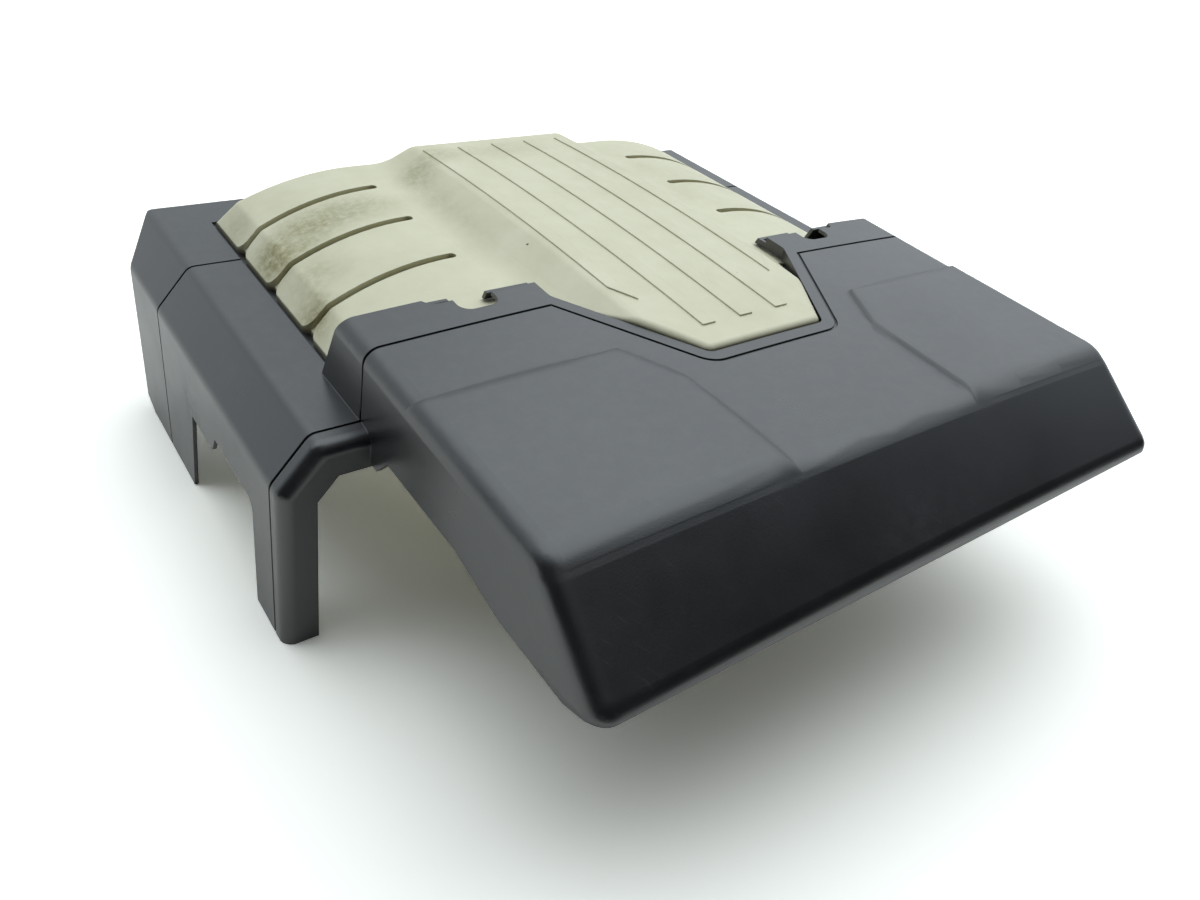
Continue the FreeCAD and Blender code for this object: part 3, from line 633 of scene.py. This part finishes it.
# %% A tree with the screw's sizes
screw_tree = bpy.data.node_groups.new("washer head screws", "GeometryNodeTree")
screw_tree.interface.new_socket("Places", in_out="INPUT", socket_type="NodeSocketGeometry")
sizes_mm = {
    "Flange Rim Radius": 3.6735, "Flange Radius": 3.95, "Flange Height": 0.8,
    "Head Crown Radius": 2.52, "Head Radius": 2.8, "Head Height": head_height / MM,
    "Shank Radius": 1.5, "Shank Tip Radius": 1.2, "Shank Length": 8.9, "Shank Tip Height": 8.811,
    "Recess Waist": 1.184, "Recess Radius": 1.6, "Recess Floor": -1.0, "Punch Length": 2.4,
}
for size_name in sizes_mm:
    screw_tree.interface.new_socket(size_name, in_out="INPUT", socket_type="NodeSocketFloat")
screw_tree.interface.new_socket("Screws", in_out="OUTPUT", socket_type="NodeSocketGeometry")
given = add_node(screw_tree, "NodeGroupInput").outputs
print("tree inputs:", len(sizes_mm))

# %% [markdown]
# ## The turned body
# Flange, head and shank are round and tapered, as a cold former leaves them, so each is a cone. A union
# makes one solid of the three.

# %% Flange, head and shank
facets = 32


def turned_piece(low_radius, high_radius, length, top):
    """A round piece of the screw between two radii, with its upper end at a height."""
    body = add_node(screw_tree, "GeometryNodeMeshCone",
                    {"Vertices": facets, "Radius Bottom": low_radius, "Radius Top": high_radius,
                     "Depth": length})
    base = add_node(screw_tree, "ShaderNodeMath", {0: top, 1: length}, operation="SUBTRACT")
    lift = add_node(screw_tree, "ShaderNodeCombineXYZ", {"Z": base.outputs[0]})
    return add_node(screw_tree, "GeometryNodeTransform",
                    {"Geometry": body.outputs["Mesh"], "Translation": lift.outputs[0]}).outputs[0]


flange = turned_piece(given["Flange Rim Radius"], given["Flange Radius"], given["Flange Height"], 0.0)
head = turned_piece(given["Head Crown Radius"], given["Head Radius"], given["Head Height"], 0.0)
shank = turned_piece(given["Shank Radius"], given["Shank Tip Radius"], given["Shank Length"],
                     given["Shank Tip Height"])
turned_pieces = (flange, head, shank)
solid = add_node(screw_tree, "GeometryNodeMeshBoolean", operation="UNION", solver="EXACT")
for part in turned_pieces:
    screw_tree.links.new(part, solid.inputs["Mesh 2"])
print("turned pieces:", len(turned_pieces))

# %% [markdown]
# ## The star recess
# A driver's socket is pressed into the head with a star punch. Here a star curve is filled and drawn out
# to a closed punch, which is taken away from the body.

# %% Punch and cut
star_points = 6
star = add_node(screw_tree, "GeometryNodeCurveStar",
                {"Points": star_points, "Inner Radius": given["Recess Waist"],
                 "Outer Radius": given["Recess Radius"]})
star_face = add_node(screw_tree, "GeometryNodeFillCurve", {"Curve": star.outputs["Curve"]})
punch = add_node(screw_tree, "GeometryNodeExtrudeMesh",
                 {"Mesh": star_face.outputs[0], "Offset Scale": given["Punch Length"], "Individual": False})
punch_base = add_node(screw_tree, "GeometryNodeFlipFaces", {"Mesh": star_face.outputs[0]})
punch_whole = add_node(screw_tree, "GeometryNodeJoinGeometry")
for part in (punch.outputs["Mesh"], punch_base.outputs[0]):
    screw_tree.links.new(part, punch_whole.inputs[0])
punch_closed = add_node(screw_tree, "GeometryNodeMergeByDistance",
                        {"Geometry": punch_whole.outputs[0], "Distance": merge_distance})
punch_start = add_node(screw_tree, "ShaderNodeMath", {0: given["Recess Floor"], 1: given["Punch Length"]},
                       operation="SUBTRACT")
punch_drop = add_node(screw_tree, "ShaderNodeCombineXYZ", {"Z": punch_start.outputs[0]})
punch_placed = add_node(screw_tree, "GeometryNodeTransform",
                        {"Geometry": punch_closed.outputs[0], "Translation": punch_drop.outputs[0]})
screw = add_node(screw_tree, "GeometryNodeMeshBoolean",
                 {"Mesh 1": solid.outputs["Mesh"], "Mesh 2": punch_placed.outputs[0]},
                 operation="DIFFERENCE", solver="EXACT")
print("recess depth in mm:", round(sizes_mm["Head Height"] + sizes_mm["Recess Floor"], 2))

# %% [markdown]
# ## Set the screws
# One screw goes on every point. Realize Instances and Set Material make real faces with the zinc finish.

# %% Screws on their points
placed = add_node(screw_tree, "GeometryNodeInstanceOnPoints",
                  {"Points": given["Places"], "Instance": screw.outputs["Mesh"]})
realized = add_node(screw_tree, "GeometryNodeRealizeInstances", {"Geometry": placed.outputs[0]})
finished = add_node(screw_tree, "GeometryNodeSetMaterial",
                    {"Geometry": realized.outputs[0], "Material": zinc})
add_node(screw_tree, "NodeGroupOutput", {"Screws": finished.outputs[0]})
print("tree nodes:", len(screw_tree.nodes))

# %% [markdown]
# ## Bake the screws
# The points become a mesh, the tree runs once, and its result is kept as a plain mesh, so that the export
# sees ordinary faces. The piece then stands for the CAD node.

# %% Screws as a plain mesh
points = bpy.data.meshes.new("screw_points")
points.from_pydata(screw_places, [], [])
screws = bpy.data.objects.new("panel_screws_detailed", points)
bpy.context.scene.collection.objects.link(screws)
modifier = screws.modifiers.new("screws", "NODES")
modifier.node_group = screw_tree
for item in screw_tree.interface.items_tree:
    if item.name in sizes_mm:
        modifier[item.identifier] = sizes_mm[item.name] * MM
depsgraph = bpy.context.evaluated_depsgraph_get()
baked = bpy.data.meshes.new_from_object(screws.evaluated_get(depsgraph), depsgraph=depsgraph)
screws.modifiers.remove(modifier)
screws.data = baked
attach(screws, "root")
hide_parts("panel_screws")
print("screw faces:", len(baked.polygons))
